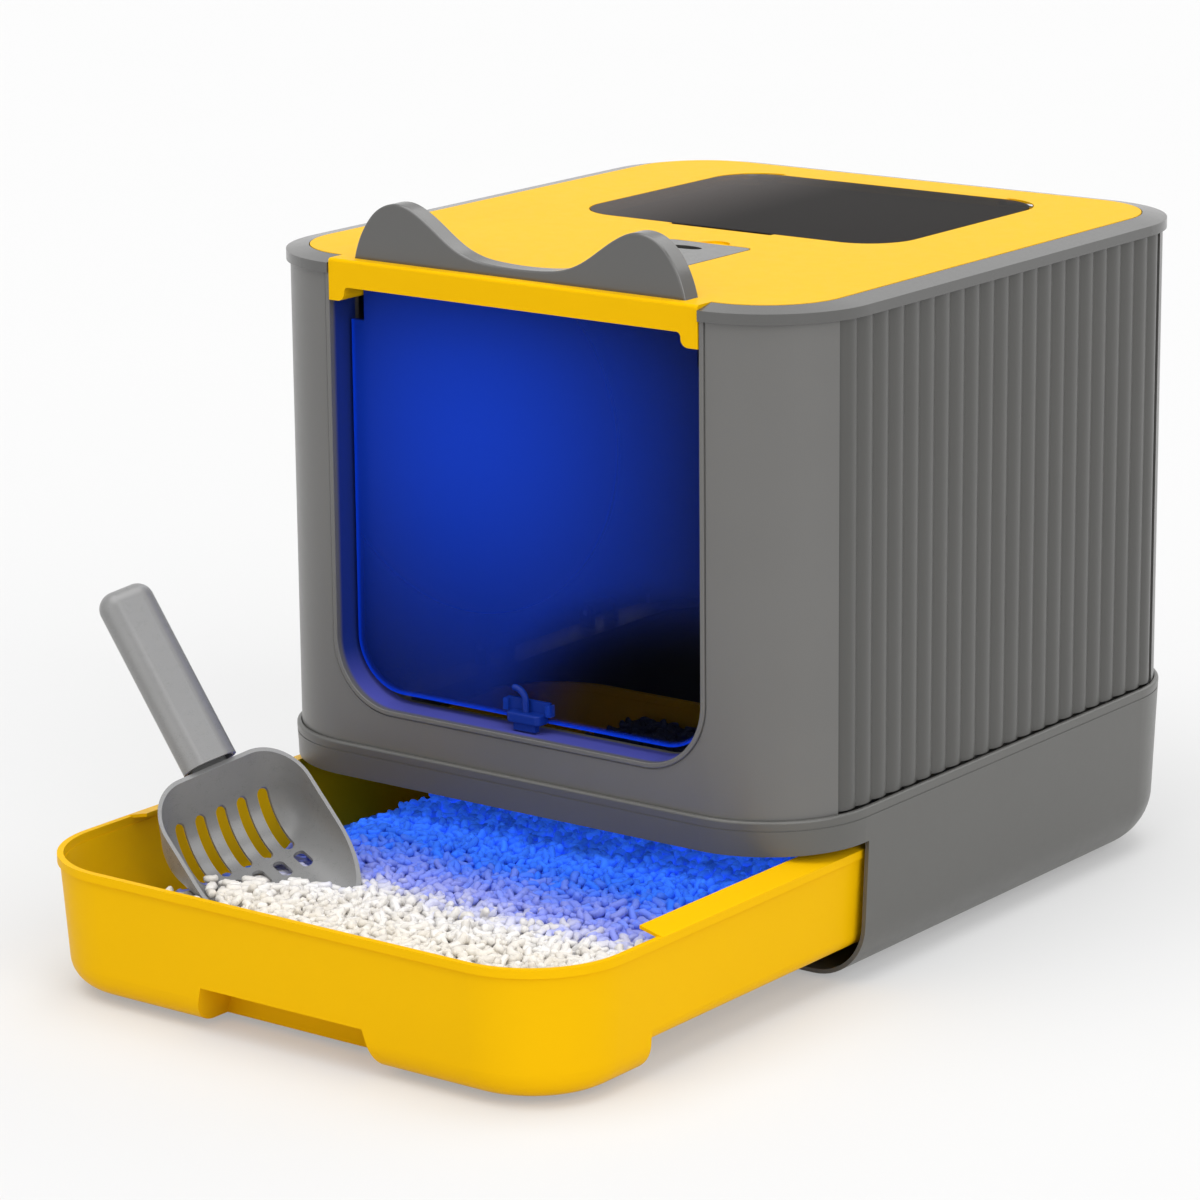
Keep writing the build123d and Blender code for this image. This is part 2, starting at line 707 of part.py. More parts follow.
guides = []
guide_foot = flap_foot + bolt_travel
hook_back = bolt_back - bolt_flange_thickness - bolt_gap
hook_front = hook_back - guide_thickness
for side in (-1, 1):
    channel = side * (flange_half + bolt_gap)
    outside = channel + side * guide_thickness
    guide = block(channel, outside, hook_front, flap_face, guide_foot, guide_foot + guide_height)
    guide += block(
        channel - side * guide_cover, outside, hook_front, hook_back, guide_foot, guide_foot + guide_height)
    guides.append(guide)


# Drawer: deep front pit, shallower body that slides in the tub, sloping side lips
def tray_plan(inset, z):
    return Pos(0, drawer_middle_y, z) * RectangleRounded(
        drawer_width - 2 * inset, drawer_length - 2 * inset, drawer_radius - inset)


def notch_form(inset):
    half_top, half_foot = notch_top_width / 2 + inset, notch_bottom_width / 2 + inset
    top = pit_floor + notch_height + inset
    outline = make_face(Polyline(
        (-half_foot, 0), (half_foot, 0), (half_top, top), (-half_top, top), close=True))
    upright = extrude(Plane.XZ * outline, notch_depth + inset + overrun)
    return Pos(0, drawer_front + notch_depth + inset, 0) * upright


def tray_form(inset):
    forms = []
    for floor, radius in ((drawer_floor, drawer_floor_radius), (pit_floor, pit_floor_radius)):
        form = extrude(
            tray_plan(inset, drawer_rim_top), drawer_rim_top - floor - inset,
            dir=(0, 0, -1), taper=drawer_draft_angle)
        forms.append(fillet(form.faces().sort_by(Axis.Z)[0].edges(), radius - inset))
    body, pit = forms
    pit &= block(
        -body_width, body_width, drawer_front - overrun, drawer_front + pit_length - inset,
        -overrun, collar_top)
    return body + pit


tray_inside = tray_form(drawer_wall) - notch_form(drawer_wall)
drawer_tray = tray_form(0)
rim_band_z = drawer_rim_top - rim_band_height
drawer_tray += extrude(tray_plan(-rim_band_proud, rim_band_z), rim_band_height)
drawer_tray -= tray_inside
drawer_tray -= extrude(tray_plan(drawer_wall, rim_band_z), rim_band_height + overrun)
drawer_tray -= notch_form(0)
lip_edge = drawer_width / 2 + rim_band_proud
lip_front = drawer_front + lip_start
lip_back = drawer_front + drawer_length - drawer_radius
for side in (-1, 1):
    lip_outline = make_face(Polyline(
        (side * lip_edge, drawer_rim_top), (side * (lip_edge - side_lip_width), drawer_rim_top + side_lip_rise),
        (side * (lip_edge - side_lip_width), drawer_rim_top + side_lip_rise - side_lip_thickness),
        (side * lip_edge, drawer_rim_top - side_lip_thickness), close=True))
    drawer_tray += Pos(0, lip_back, 0) * extrude(Plane.XZ * lip_outline, lip_back - lip_front)
drawer_feet = []
for side in (-1, 1):
    x, y = side * (drawer_width / 2 - drawer_foot_side_inset), drawer_front + drawer_foot_setback
    drawer_tray -= Pos(x, y, pit_floor) * Cylinder(drawer_foot_radius + foot_fit, 2 * foot_recess)
    drawer_feet.append(
        Pos(x, y, (pit_floor + foot_recess) / 2) * Cylinder(drawer_foot_radius, pit_floor + foot_recess))


# Scoop, built lying along +X and then stood in the litter
def blade_form(inset, rise):
    half = blade_width / 2 - inset
    heel = blade_heel_radius - inset
    back, floor = inset, inset
    start = (back, blade_back_height + rise)
    bend = (back, blade_heel_radius)
    arc_mid = blade_heel_radius - heel * cos(radians(half_right_angle))
    flat = (blade_heel_radius, floor)
    tip = (blade_length + rise, floor)
    mouth = (blade_length + rise, blade_tip_height + rise)
    heel_arc = ThreePointArc(bend, (arc_mid, arc_mid), flat)
    outline = make_face(Curve() + [
        Line(start, bend), heel_arc, Line(flat, tip), Line(tip, mouth), Line(mouth, start)])
    form = Pos(0, half, 0) * extrude(Plane.XZ * outline, 2 * half)
    upright = form.edges().filter_by(Axis.Z).group_by(Axis.X)[0]
    return fillet(upright, blade_side_radius - inset)


scoop_place = (
    Pos(scoop_x, front_y - drawer_reach + scoop_setback, scoop_height)
    * Rot(0, 0, scoop_yaw_angle) * Rot(0, scoop_pitch_angle, 0) * Rot(scoop_roll_angle, 0, 0)
    * Pos(-blade_anchor, 0, 0))
blade = blade_form(0, 0) - blade_form(blade_wall, overrun)
heel_middle = blade_heel_radius - blade_heel_radius * cos(radians(half_right_angle))
slot_places = [(i - (slot_count - 1) / 2) * slot_pitch for i in range(slot_count)]
for y in slot_places:
    long_slot = extrude(SlotOverall(long_slot_length, slot_width), blade_heel_radius, both=True)
    blade -= Pos(heel_middle, y, heel_middle) * Rot(0, half_right_angle, 0) * long_slot
    short_slot = extrude(SlotOverall(short_slot_length, slot_width), blade_heel_radius / 2, both=True)
    blade -= Pos(blade_anchor, y, 0) * short_slot
handle_place = Pos(0, 0, blade_back_height - handle_drop) * Rot(0, handle_angle - right_angle, 0)
bore_thickness, bore_width = handle_thickness - 2 * handle_wall, handle_width - 2 * handle_wall
tang_shift = tang_thickness / 2 + tang_fit - bore_thickness / 2
tang_plan = Pos(tang_shift, 0) * RectangleRounded(tang_thickness, tang_width, tang_corner_radius)
tang = Pos(0, 0, -tang_root) * extrude(tang_plan, tang_root + tang_length + handle_start)
blade += handle_place * tang - block(
    blade_wall, blade_length, -blade_width, blade_width, -overrun, blade_length)
handle = extrude(RectangleRounded(handle_thickness, handle_width, handle_radius), handle_length)
handle = fillet(handle.faces().sort_by(Axis.Z)[-1].edges(), handle_end_radius)
handle -= extrude(
    RectangleRounded(bore_thickness, bore_width, handle_radius - handle_wall), handle_bore_depth)
socket = Pos(tang_shift, 0) * RectangleRounded(
    tang_thickness + 2 * tang_fit, tang_width + 2 * tang_fit, tang_corner_radius + tang_fit)
handle -= extrude(socket, tang_length + tang_fit)
handle = handle_place * Pos(0, 0, handle_start) * handle
handle -= blade_form(-tang_fit, tang_fit)
scoop_blade = scoop_place * blade
scoop_handle = scoop_place * handle

# Litter: fills the tray below its level, with a trough along the left wall, where it has been scooped away,
# and a trench where the scoop is drawn out
litter_bed = (tray_form(drawer_wall + litter_gap) - notch_form(drawer_wall + litter_gap)) & block(
    -body_width, body_width, drawer_front, back_y, 0, litter_top)
hollow_y = front_y - drawer_reach + hollow_setback
hollow_z = litter_top + hollow_radius - hollow_depth
litter_bed -= Pos(hollow_x, hollow_y, hollow_z) * Sphere(hollow_radius)
trough = extrude(Plane.XZ * Pos(hollow_x, hollow_z) * Circle(hollow_radius), -(back_y - hollow_y))
litter_bed -= Pos(0, hollow_y, 0) * trough
trench = blade_form(-scoop_clearance, scoop_clearance)
trench_place = scoop_place * Pos(0, 0, scoop_clearance - scoop_seat_gap) * trench
pull = Vector(pull_side_share, pull_front_share, pull_up_share) * pull_length
for i in range(trench_count):
    litter_bed -= Pos(*(pull * (i / (trench_count - 1)))) * trench_place

os.makedirs("parts", exist_ok=True)
save("base_tub", base_tub)
save("rubber_feet", *rubber_feet)
save("panel_hinge_pins", *hinge_pins)
save("left_side_panel", side_panel(-1))
save("right_side_panel", side_panel(1))
save("front_frame", front_frame)
save("back_panel", back_panel)
save("top_rim", top_rim)
save("lid", lid)
save("lid_screws", *lid_screws)
save("ear_plate", ear_plate)
save("ear_screws", *ear_screws)
save("top_hatch", hatch.plate)
save("hatch_pins", *hatch.pins)
save("vent_cover", vent_cover)
save("vent_cover_pins", *cover.pins)
save("scent_box", scent_box)
save("charcoal_pad", charcoal_pad)
save("flap", flap)
save("flap_pins", *flap_pins)
save("flap_bolt", bolt)
save("bolt_guides", *guides)
save("drawer_tray", drawer_tray)
save("drawer_feet", *drawer_feet)
save("litter_bed", litter_bed)
save("scoop_blade", scoop_blade)
save("scoop_handle", scoop_handle)
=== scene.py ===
import math

import bpy
import numpy as np
from mathutils import Euler, Matrix, Vector
from mathutils.bvhtree import BVHTree


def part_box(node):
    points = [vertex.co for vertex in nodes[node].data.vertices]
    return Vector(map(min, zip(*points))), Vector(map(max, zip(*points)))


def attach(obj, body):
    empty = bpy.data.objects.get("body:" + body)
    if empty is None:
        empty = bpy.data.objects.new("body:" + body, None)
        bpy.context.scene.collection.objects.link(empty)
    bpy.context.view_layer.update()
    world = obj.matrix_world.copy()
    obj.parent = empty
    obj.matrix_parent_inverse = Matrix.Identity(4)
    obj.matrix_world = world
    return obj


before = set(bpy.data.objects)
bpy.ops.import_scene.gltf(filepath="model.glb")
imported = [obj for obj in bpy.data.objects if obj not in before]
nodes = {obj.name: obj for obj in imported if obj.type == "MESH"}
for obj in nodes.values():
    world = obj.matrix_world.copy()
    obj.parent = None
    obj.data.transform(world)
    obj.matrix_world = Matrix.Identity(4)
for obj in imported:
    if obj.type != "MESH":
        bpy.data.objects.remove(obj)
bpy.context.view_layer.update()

bpy.ops.object.select_all(action="DESELECT")  # the frame comes in selected
print("frame loaded:", len(nodes), "nodes")


# Materials

class Wire:  # one output socket, with the sums that the finishes use
    def __init__(self, paint, socket):
        self.paint = paint
        self.socket = socket

    def combine(self, operation, first, second):
        return self.paint.node("Math", {"operation": operation}, {0: first, 1: second})

    def __add__(self, other):
        return self.combine("ADD", self, other)

    def __sub__(self, other):
        return self.combine("SUBTRACT", self, other)

    def __rsub__(self, other):
        return self.combine("SUBTRACT", other, self)

    def __mul__(self, other):
        return self.combine("MULTIPLY", self, other)

    __radd__ = __add__
    __rmul__ = __mul__


class Paint:  # one material, or the sky, and its nodes
    def __init__(self, name, owner=None, shader="Principled BSDF"):
        self.owner = owner or bpy.data.materials.new(name)
        self.owner.use_nodes = True
        self.nodes = self.owner.node_tree.nodes
        self.links = self.owner.node_tree.links
        self.shader = self.nodes[shader]

    def node(self, kind, settings=None, inputs=None, output=0):
        made = self.nodes.new("ShaderNode" + kind)
        for name, value in (settings or {}).items():
            if name == "stops":
                ramp = made.color_ramp.elements
                while len(ramp) < len(value):
                    ramp.new(1.0)
                for stop, (position, colour) in zip(ramp, value):
                    stop.position = position
                    stop.color = colour
            else:
                setattr(made, name, value)
        for name, value in (inputs or {}).items():
            self.feed(made.inputs[name], value)
        return Wire(self, made.outputs[output])

    def feed(self, socket, value):
        if isinstance(value, Wire):
            self.links.new(value.socket, socket)
        else:
            socket.default_value = value

    def place(self):
        return self.node("TexCoord", output="Object")

    def noise(self, scale, detail=2.0, roughness=0.5):
        return self.node("TexNoise", None, {
            "Vector": self.place(), "Scale": scale, "Detail": detail, "Roughness": roughness})

    def mix(self, factor, first, second):
        return self.node("Mix", {"data_type": "RGBA"}, {0: factor, 6: first, 7: second}, output=2)

    def bump(self, height, distance, strength=1.0):
        return self.node("Bump", None, {"Height": height, "Distance": distance, "Strength": strength})

    def finish(self, sockets):
        for name, value in sockets.items():
            self.feed(self.shader.inputs[name], value)
        return self.owner


def tint(colour, factor):
    return tuple(min(1.0, value * factor) for value in colour[:3]) + (1.0,)


noiseMiddle = 0.5

plasticLooks = {
    "frameGrey": {"colour": (0.124, 0.122, 0.117), "spread": 0.05, "roughness": 0.34, "shine": 0.55,
                  "grainScale": 1500.0, "grainDepth": 0.00004, "mottleScale": 14.0},
    "bodyGrey": {"colour": (0.096, 0.095, 0.089), "spread": 0.05, "roughness": 0.34, "shine": 0.50,
                 "grainScale": 1500.0, "grainDepth": 0.00004, "mottleScale": 14.0},
    # The side panels are the housing grey darkened: painted shade for the ribbed sides under the strong side
    # lamp.
    "shadedPanelGrey": {"colour": (0.066, 0.065, 0.061), "spread": 0.05, "roughness": 0.34, "shine": 0.50,
                  "grainScale": 1500.0, "grainDepth": 0.00004, "mottleScale": 14.0},
    "trimGrey": {"colour": (0.058, 0.057, 0.054), "spread": 0.05, "roughness": 0.22, "shine": 1.00,
                 "grainScale": 1500.0, "grainDepth": 0.00003, "mottleScale": 14.0},
    "yellowMoulded": {"colour": (0.820, 0.462, 0.002), "spread": 0.03, "roughness": 0.34, "shine": 0.02,
                      "grainScale": 1900.0, "grainDepth": 0.00003, "mottleScale": 11.0},
    "scoopGrey": {"colour": (0.205, 0.205, 0.204), "spread": 0.05, "roughness": 0.30, "shine": 0.60,
                  "grainScale": 2200.0, "grainDepth": 0.00003, "mottleScale": 20.0},
}
plasticGrain = {
    "mottleDetail": 3.0, "grainDetail": 2.0, "grainRoughness": 0.6, "grainShare": 0.18,
    "flowFold": 9, "flowDetail": 4.0, "flowShare": 0.10,
}
# Painted light on the front frame: a blue reflection of the flap, lavender on the sill and dark blue up the
# jambs, in the doorway's reveal just behind its front.
paintedFlapLightLook = {
    "sill": (0.085, 0.095, 0.430, 1.0), "jamb": (0.012, 0.030, 0.200, 1.0), "sillZ": 0.138, "jambZ": 0.166,
    "frontY": -0.1108, "deepY": -0.1080, "backY": -0.0900, "half": 0.1345,
}


def paintFlapLight(paint, colour):
    place = paint.place()
    across, depth, height = (paint.node("SeparateXYZ", None, {0: place}, output=axis) for axis in "XYZ")
    inside = across.combine("LESS_THAN", across.combine("ABSOLUTE", across, 0.0), paintedFlapLightLook["half"])
    behind = paint.node("MapRange", None, {
        "Value": depth, "From Min": paintedFlapLightLook["frontY"], "From Max": paintedFlapLightLook["deepY"]})
    raised = paint.node("MapRange", None, {
        "Value": height, "From Min": paintedFlapLightLook["sillZ"], "From Max": paintedFlapLightLook["jambZ"]})
    near = depth.combine("LESS_THAN", depth, paintedFlapLightLook["backY"])
    return paint.mix(inside * behind * near, colour, paint.mix(raised, paintedFlapLightLook["sill"], paintedFlapLightLook["jamb"]))


def plasticFinish(name):
    look = plasticLooks[name]
    paint = Paint(name)
    mottle = paint.noise(look["mottleScale"], plasticGrain["mottleDetail"])
    grain = paint.noise(look["grainScale"], plasticGrain["grainDetail"], plasticGrain["grainRoughness"])
    flow = paint.noise(look["mottleScale"] * plasticGrain["flowFold"], plasticGrain["flowDetail"])
    dark, pale = (tint(look["colour"], 1 + side * look["spread"]) for side in (-1, 1))
    colour = paint.mix(mottle, dark, pale)
    # painted blue light from the flap on the frame's sill and jambs
    if name == "frameGrey":
        colour = paintFlapLight(paint, colour)
    grainy = (grain - noiseMiddle) * plasticGrain["grainShare"]
    return paint.finish({
        "Base Color": colour,
        "Roughness": look["roughness"] + grainy + (flow - noiseMiddle) * plasticGrain["flowShare"],
        "Normal": paint.bump(grain, look["grainDepth"]),
        "Specular IOR Level": look["shine"],
    })


# The flap's blue holds painted light and shade: it is brightest round a point left of the middle and fades
# to a darker painted-shade blue towards the edges. The lower corner is clear.
flapLook = {
    "deep": (0.004, 0.013, 0.110, 1.0), "paintedLitBlue": (0.006, 0.050, 0.600, 1.0),
    "clear": (0.004, 0.005, 0.012, 1.0), "edge": (0.003, 0.060, 0.900, 1.0),
    "edgeHighlightWide": 0.0035, "footRadius": 0.034,
    "paintedLightCentre": (-0.045, -0.096, 0.310), "paintedLightReach": 0.21,
    "cornerX": 0.125, "cornerZ": 0.140, "cornerWide": 0.165, "cornerTall": 0.105, "cornerCore": 0.20,
    "rippleScale": 18.0, "rippleShare": 0.12, "rippleDepth": 0.0004, "rippleStrength": 0.25,
    "alphaBody": 0.72, "alphaCorner": 0.08, "roughness": 0.24, "shine": 0.05,
}


# A painted highlight: a thin bright blue line along the flap's rounded foot and sides. It stays opaque in
# the clear corner.
def flapEdgeHighlight(paint, across, height):
    low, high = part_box("flap")
    radius = flapLook["footRadius"]
    wide = across.combine("ABSOLUTE", across, 0.0) - (high[0] - radius)
    tall = (low[2] + radius) - height
    past = [side.combine("MAXIMUM", side, 0.0) for side in (wide, tall)]
    curved = across.combine("SQRT", past[0] * past[0] + past[1] * past[1], 0.0)
    inner = across.combine("MINIMUM", wide.combine("MAXIMUM", wide, tall), 0.0)
    return paint.node("MapRange", {"interpolation_type": "SMOOTHSTEP"}, {
        "Value": curved + inner, "From Min": radius - flapLook["edgeHighlightWide"], "From Max": radius})


def flapFinish():
    look = flapLook
    paint = Paint("blueTintedFlap")
    place = paint.place()
    across, height = (paint.node("SeparateXYZ", None, {0: place}, output=axis) for axis in "XZ")
    away = paint.node(
        "VectorMath", {"operation": "DISTANCE"}, {0: place, 1: look["paintedLightCentre"]}, output="Value")
    glow = paint.node("MapRange", {"interpolation_type": "SMOOTHSTEP"}, {
        "Value": away, "From Min": 0.0, "From Max": look["paintedLightReach"], "To Min": 1.0, "To Max": 0.0})
    aside, raised = across - look["cornerX"], height - look["cornerZ"]
    reach = aside * aside * look["cornerWide"] ** -2 + raised * raised * look["cornerTall"] ** -2
    corner = paint.node("MapRange", {"interpolation_type": "SMOOTHSTEP"}, {
        "Value": reach, "From Min": look["cornerCore"], "From Max": 1.0, "To Min": 1.0, "To Max": 0.0})
    edge = flapEdgeHighlight(paint, across, height)
    ripple = paint.noise(look["rippleScale"])
    # painted light and shade across the flap, then the clear corner
    colour = paint.mix(corner, paint.mix(glow, look["deep"], look["paintedLitBlue"]), look["clear"])
    return paint.finish({
        # the painted highlight along the flap's edge
        "Base Color": paint.mix(edge, colour, look["edge"]),
        "Roughness": look["roughness"] + ripple * look["rippleShare"],
        "Alpha": look["alphaBody"] - corner * (1 - edge) * (look["alphaBody"] - look["alphaCorner"]),
        "Normal": paint.bump(ripple, look["rippleDepth"], look["rippleStrength"]),
        "Specular IOR Level": look["shine"],
    })


clearLooks = {
    "blueClear": {"colour": (0.010, 0.050, 0.420), "alpha": 0.60, "roughness": 0.10, "shine": 0.12},
    "blueBolt": {"colour": (0.006, 0.030, 0.260), "alpha": 0.92, "roughness": 0.22, "shine": 0.12},
}
clearWave = {
    "rippleScale": 22.0, "rippleDetail": 3.0, "spread": 0.15, "depth": 0.0003, "strength": 0.15,
    "smearScale": 160.0, "smearDetail": 4.0, "smearShare": 0.06,
}


def clearFinish(name):
    look = clearLooks[name]
    paint = Paint(name)
    ripple = paint.noise(clearWave["rippleScale"], clearWave["rippleDetail"])
    smear = paint.noise(clearWave["smearScale"], clearWave["smearDetail"])
    dark, pale = (tint(look["colour"], 1 + side * clearWave["spread"]) for side in (-1, 1))
    return paint.finish({
        "Base Color": paint.mix(ripple, dark, pale),
        "Roughness": look["roughness"] + smear * clearWave["smearShare"],
        "Alpha": look["alpha"],
        "Normal": paint.bump(ripple, clearWave["depth"], clearWave["strength"]),
        "Specular IOR Level": look["shine"],
    })


# Painted reflection on the smoked hatch: paler towards the left and darker from the middle on, with painted
# streaks.
hatchLook = {
    "pale": (0.105, 0.093, 0.089, 1.0), "dark": (0.014, 0.012, 0.011, 1.0), "reflectionPaleX": -0.125, "reflectionDarkX": 0.000,
    "streakScale": (9.0, 3.0, 3.0), "streakDetail": 2.0, "streakShare": 0.35,
    "alpha": 0.76, "roughness": 0.12, "shine": 0.002,
}


def hatchFinish():
    look = hatchLook
    paint = Paint("smokedHatch")
    across = paint.node("SeparateXYZ", None, {0: paint.place()}, output="X")
    pale = paint.node("MapRange", {"interpolation_type": "SMOOTHSTEP"}, {
        "Value": across, "From Min": look["reflectionPaleX"], "From Max": look["reflectionDarkX"], "To Min": 1.0, "To Max": 0.0})
    streak = paint.node("TexNoise", None, {
        "Vector": paint.node("Mapping", None, {"Vector": paint.place(), "Scale": look["streakScale"]}),
        "Scale": 1.0, "Detail": look["streakDetail"]})
    smear = paint.noise(clearWave["smearScale"], clearWave["smearDetail"])
    # painted reflection: the pale side and its streaks
    paintedReflection = pale + (streak - noiseMiddle) * look["streakShare"]
    return paint.finish({
        "Base Color": paint.mix(paintedReflection, look["dark"], look["pale"]),
        "Roughness": look["roughness"] + smear * clearWave["smearShare"],
        "Alpha": look["alpha"],
        "Specular IOR Level": look["shine"],
    })


# The litter runs from cream at the front through lavender to blue towards the housing. Behind that it
# darkens to navy, which is painted shade for the litter under the hood.
litterLook = {
    "cream": (0.900, 0.860, 0.780, 1.0), "white": (0.900, 0.890, 0.880, 1.0),
    "lavender": (0.300, 0.350, 0.900, 1.0), "blue": (0.026, 0.175, 0.980, 1.0),
    "deep": (0.070, 0.095, 0.230, 1.0), "gapShade": (0.140, 0.130, 0.120, 1.0),
    "dull": (0.72, 0.70, 0.68, 1.0), "fresh": (1.0, 1.0, 1.0, 1.0),
    "creamY": -0.285, "whiteY": -0.235, "lavenderY": -0.205, "blueY": -0.150, "dimY": -0.045, "deepY": 0.005,
    "driftScale": 22.0, "driftReach": 0.030, "toneReach": 0.022,
    "lit": (0.014, 0.078, 0.500, 1.0), "unlit": (0.0, 0.0, 0.0, 1.0), "litY": -0.092, "litStrength": 1.0,
    "litBase": 0.35, "litTone": 0.55, "litGrain": 0.6,
    "grainScale": 700.0, "grainDetail": 4.0, "grainDepth": 0.0004, "grainStrength": 0.6, "grainShare": 0.15,
    "cellScale": 170.0, "cellDepth": 0.0030, "gapFrom": 0.40, "gapTo": 0.75, "gapShare": 0.75,
    "toneShare": 0.5, "roughness": 0.78, "shine": 0.3,
}


def litterShare(name):  # a named line's place on the litter's ramps, from 0 to 1
    return (litterLook[name] - litterLook["creamY"]) / (litterLook["deepY"] - litterLook["creamY"])


def litterFinish(name):
    look = litterLook
    paint = Paint(name)
    cells = {"Vector": paint.place(), "Scale": look["cellScale"]}
    packed = name == "litterBed"
    if packed:
        tone = paint.node("TexVoronoi", None, cells, output="Color") * 1.0  # a cell's colour as one value
    else:
        tone = paint.node("Attribute", {"attribute_name": "pelletTone"}, output="Fac")
    along = paint.node("SeparateXYZ", None, {0: paint.place()}, output="Y")
    wander = (paint.noise(look["driftScale"]) - noiseMiddle) * look["driftReach"]
    drift = along + wander + (tone - noiseMiddle) * look["toneReach"]
    way = (drift - look["creamY"]) * (1 / (look["deepY"] - look["creamY"]))
    # cream to blue along the drawer, then the painted shade of the litter inside the housing
    ramp = paint.node("ValToRGB", {"stops": [
        (0.0, look["cream"]), (litterShare("whiteY"), look["white"]),
        (litterShare("lavenderY"), look["lavender"]), (litterShare("blueY"), look["blue"]),
        (litterShare("dimY"), look["blue"]), (1.0, look["deep"])]}, {"Fac": way})
    # Painted light: an emission on the blue litter just in front of the housing, standing in for light
    # through the blue flap. It fades out again further inside.
    light = paint.node("ValToRGB", {"stops": [
        (litterShare("blueY"), look["unlit"]), (litterShare("litY"), look["lit"]),
        (litterShare("dimY"), look["lit"]), (1.0, look["unlit"])]}, {"Fac": way})
    speck = paint.noise(look["grainScale"], look["grainDetail"])
    wear = paint.mix(speck * look["toneShare"] + tone * look["toneShare"], look["dull"], look["fresh"])
    shade = paint.node(
        "Mix", {"data_type": "RGBA", "blend_type": "MULTIPLY"}, {0: 1.0, 6: ramp, 7: wear}, output=2)
    relief = paint.bump(speck, look["grainDepth"], look["grainStrength"])
    if packed:
        gap = paint.node("TexVoronoi", None, cells, output="Distance")
        edge = paint.node("MapRange", None, {
            "Value": gap, "From Min": look["gapFrom"], "From Max": look["gapTo"]})
        shade = paint.mix(edge * look["gapShare"], shade, look["gapShade"])
        relief = paint.bump(1 - gap, look["cellDepth"])
    glow = look["litBase"] + tone * look["litTone"] + (speck - noiseMiddle) * look["litGrain"]
    material = paint.finish({
        "Base Color": shade,
        "Roughness": look["roughness"] + speck * look["grainShare"],
        "Normal": relief,
        "Specular IOR Level": look["shine"],
        # the painted light, varied per pellet
        "Emission Color": paint.mix(glow, look["unlit"], light),
        "Emission Strength": look["litStrength"],
    })
    material.cycles.emission_sampling = "NONE"
    return material


steelLook = {
    "dark": (0.42, 0.42, 0.43, 1.0), "pale": (0.62, 0.62, 0.63, 1.0),
    "streakScale": (40.0, 900.0, 900.0), "streakDetail": 3.0, "streakShare": 0.15, "roughness": 0.28,
}


def steelFinish():
    look = steelLook
    paint = Paint("drawnSteel")
    streak = paint.node("TexNoise", None, {
        "Vector": paint.node("Mapping", None, {"Vector": paint.place(), "Scale": look["streakScale"]}),
        "Scale": 1.0, "Detail": look["streakDetail"]})
    return paint.finish({
        "Base Color": paint.mix(streak, look["dark"], look["pale"]),
        "Roughness": look["roughness"] + streak * look["streakShare"],
        "Metallic": 1.0,
    })


darkLooks = {
    "footRubber": {"colour": (0.022, 0.022, 0.022), "roughness": 0.78, "scale": 500.0, "depth": 0.0002},
    "charcoalFelt": {"colour": (0.020, 0.020, 0.021), "roughness": 0.92, "scale": 900.0, "depth": 0.0006},
}
darkFibre = {"detail": 5.0, "roughness": 0.7, "darkest": 0.6, "palest": 1.8, "share": 0.15}


def darkFinish(name):
    look = darkLooks[name]
    paint = Paint(name)
    fibre = paint.noise(look["scale"], darkFibre["detail"], darkFibre["roughness"])
    dark, pale = (tint(look["colour"], darkFibre[end]) for end in ("darkest", "palest"))
    return paint.finish({
        "Base Color": paint.mix(fibre, dark, pale),
        "Roughness": look["roughness"] + (fibre - noiseMiddle) * darkFibre["share"],
        "Normal": paint.bump(fibre, look["depth"]),
    })


finishes = {name: plasticFinish(name) for name in plasticLooks}
finishes.update({name: clearFinish(name) for name in clearLooks})
finishes.update({name: darkFinish(name) for name in darkLooks})
finishes.update({"blueTintedFlap": flapFinish(), "smokedHatch": hatchFinish()})
finishes.update({name: litterFinish(name) for name in ("litterPellets", "litterBed")})
finishes["drawnSteel"] = steelFinish()
nodeFinishes = {
    "frameGrey": ("front_frame", "back_panel"),
    "bodyGrey": ("base_tub", "scent_box"),
    "shadedPanelGrey": ("left_side_panel", "right_side_panel"),
    "trimGrey": ("ear_plate", "top_rim", "vent_cover"),
    "scoopGrey": ("scoop_blade", "scoop_handle"),
    "yellowMoulded": ("lid", "drawer_tray"),
    "smokedHatch": ("top_hatch",),
    "blueTintedFlap": ("flap",),
    "blueClear": ("bolt_guides",),
    "blueBolt": ("flap_bolt",),
    "litterBed": ("litter_bed",),
    "drawnSteel": (
        "panel_hinge_pins", "hatch_pins", "vent_cover_pins", "flap_pins", "lid_screws", "ear_screws"),
    "footRubber": ("rubber_feet", "drawer_feet"),
    "charcoalFelt": ("charcoal_pad",),
}
for finishName, names in nodeFinishes.items():
    for name in names:
        nodes[name].data.materials.clear()
        nodes[name].data.materials.append(finishes[finishName])
print("finishes made:", len(finishes))


# Litter pellets: three short bent crumbs, modelled once and strewn over the litter

pelletLook = {
    "sides": 6, "radius": 0.0023, "step": 0.0025, "bends": (28.0, -20.0, 44.0),
    "tipShare": 0.55, "swells": (1.75, 1.12, 0.92, 1.05, 0.55), "endStep": 0.45, "stretch": (0.8, 1.25),
    "spacing": 0.0054, "lift": 0.0004, "wander": 0.0013, "tilt": 24.0, "clearance": 0.0034,
    "wallReach": 0.0075, "wallTilt": 5.0, "layer": 0.0040, "castHeight": 0.15,
    "rows": 3, "seed": 11,
}


